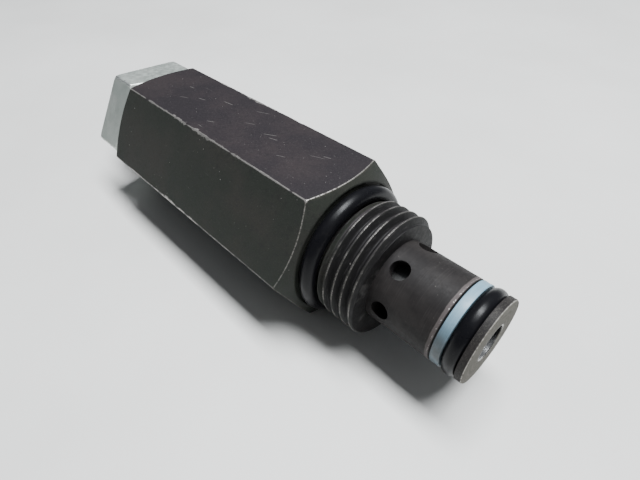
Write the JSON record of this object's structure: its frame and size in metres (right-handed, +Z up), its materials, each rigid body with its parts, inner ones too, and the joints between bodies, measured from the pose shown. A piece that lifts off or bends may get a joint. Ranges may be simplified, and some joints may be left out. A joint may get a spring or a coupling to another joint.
{
  "type": "hydraulic cartridge valve",
  "caption": "Screw-in hydraulic relief cartridge valve: hexagonal body, threaded port end, cross-drilled nose sleeve with seals, adjusting screw and lock nut.",
  "frame": {"origin": "on the valve's axis, in the hexagon's seat face, which meets the manifold", "axes": "+X along the axis towards the nose, +Z up with the hexagon lying on one of its flats"},
  "size_m": [0.0916, 0.0274, 0.0238],
  "materials": {
    "black_steel": "black oxide on milled steel, worn bright along the edges",
    "dark_sleeve": "satin heat-treated steel",
    "hard_steel": "ground",
    "spring_wire": "oil-tempered wire",
    "dark_screw": "black oxide",
    "zinc_plate": "pale zinc plate, satin",
    "seal_rubber": "oiled nitrile rubber",
    "blue_backup": "pale blue, slightly waxy"
  },
  "bodies": {
    "body": {"hex_body": "black_steel", "nose_cage": "dark_sleeve", "valve_seat": "hard_steel", "seat_oring": "seal_rubber", "piston_stop_ring": "spring_wire", "port_oring": "seal_rubber", "nose_oring": "seal_rubber", "nose_backup_ring": "blue_backup", "main_spring": "spring_wire"},
    "poppet": {"poppet": "hard_steel", "thrust_ball": "hard_steel", "front_spring_seat": "hard_steel"},
    "adjuster": {"adjuster_piston": "hard_steel", "adjuster_oring": "seal_rubber", "adjuster_backup_ring": "blue_backup", "spring_shim": "hard_steel"},
    "screw": {"adjusting_screw": "dark_screw"},
    "nut": {"lock_nut": "zinc_plate"}
  },
  "joints": [
    {"name": "poppet_lift", "type": "slide", "parent": "body", "child": "poppet", "axis": [-1, 0, 0], "range_m": [0, 0.0016], "stiffness_N_per_m": 500, "springref_m": -0.002, "deforming": ["main_spring"]},
    {"name": "adjuster_travel", "type": "slide", "parent": "body", "child": "adjuster", "axis": [1, 0, 0], "range_m": [-0.00282, 0.00282], "deforming": ["main_spring"]},
    {"name": "adjuster_turn", "type": "hinge", "parent": "adjuster", "child": "screw", "pos_m": [-0.06, 0, 0], "axis": [1, 0, 0], "range_deg": [-720, 720]},
    {"name": "lock_nut_turn", "type": "hinge", "parent": "body", "child": "nut", "pos_m": [-0.055, 0, 0], "axis": [1, 0, 0], "range_deg": [-360, 0]}
  ],
  "couplings": [
    {"joint": "adjuster_turn", "follows": "adjuster_travel", "rad_per_m": 4452.6}
  ]
}
